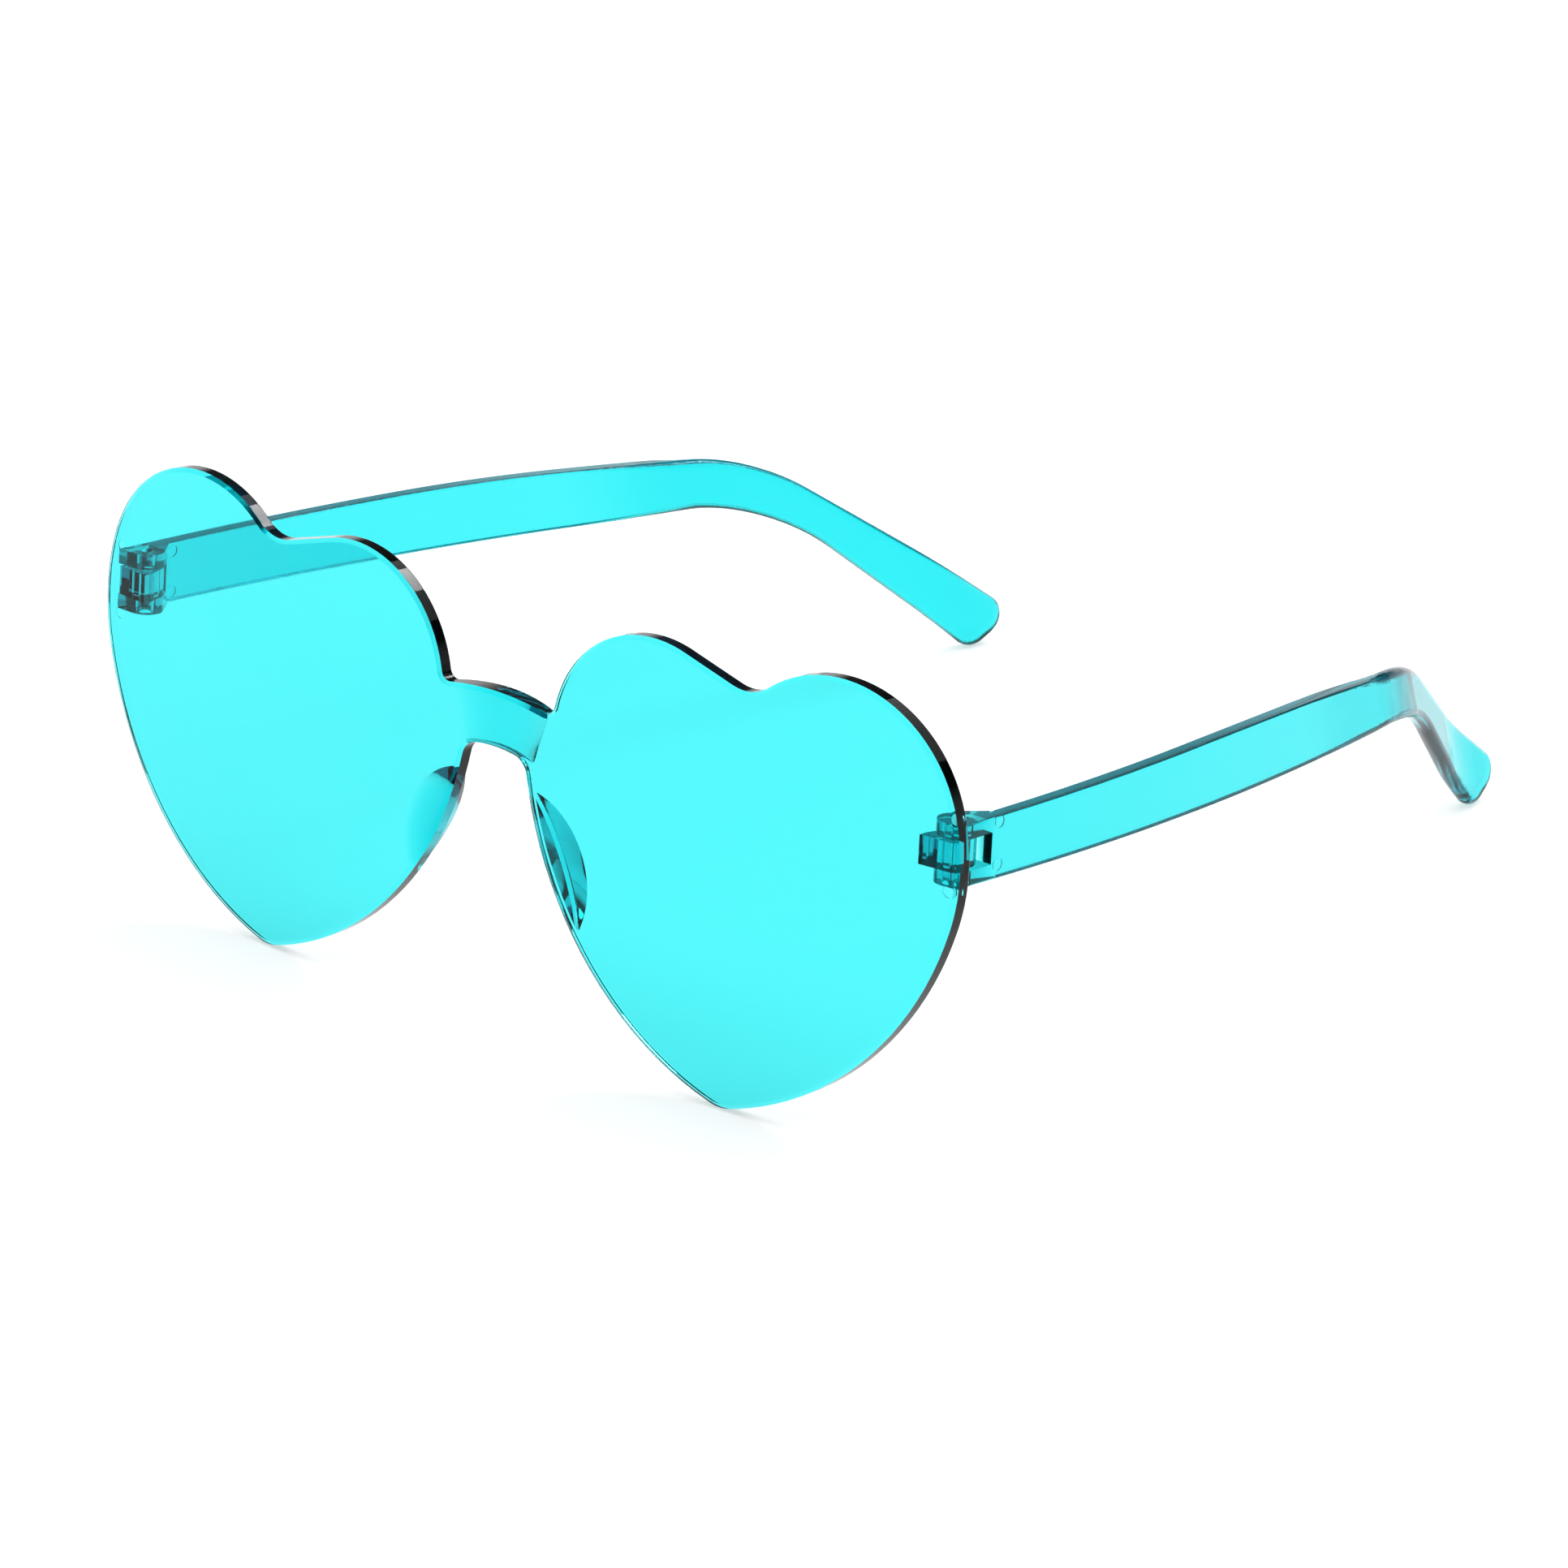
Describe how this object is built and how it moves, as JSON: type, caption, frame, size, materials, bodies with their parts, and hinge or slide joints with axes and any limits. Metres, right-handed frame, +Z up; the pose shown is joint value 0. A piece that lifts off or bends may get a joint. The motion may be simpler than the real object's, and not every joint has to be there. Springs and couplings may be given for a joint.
{
  "type": "heart shaped sunglasses",
  "caption": "Rimless sunglasses in clear turquoise plastic: a one-piece front with heart shaped lenses, bridge and nose pads, and temples that fold on hinge pins.",
  "frame": {"origin": "on the table under the middle of the whole, with the temples open", "axes": "+X across towards the wearer's left, +Y back along the temples, +Z up from the table on which the heart tips and ear ends rest"},
  "size_m": [0.145, 0.1436, 0.0581],
  "materials": {
    "front_plastic": "clear turquoise polycarbonate, polished",
    "temple_plastic": "clear turquoise polycarbonate, polished",
    "pin_plastic": "clear turquoise plastic"
  },
  "bodies": {
    "front": {"front": "front_plastic"},
    "left_temple": {"left_temple": "temple_plastic", "left_hinge_pin": "pin_plastic"},
    "right_temple": {"right_temple": "temple_plastic", "right_hinge_pin": "pin_plastic"}
  },
  "joints": [
    {"name": "left_temple_fold", "type": "hinge", "parent": "front", "child": "left_temple", "pos_m": [0.06847, -0.06123, 0.03904], "axis": [0, 0.0801, 0.9968], "range_deg": [0, 78]},
    {"name": "right_temple_fold", "type": "hinge", "parent": "front", "child": "right_temple", "pos_m": [-0.06847, -0.06123, 0.03904], "axis": [0, -0.0801, -0.9968], "range_deg": [0, 70]}
  ]
}
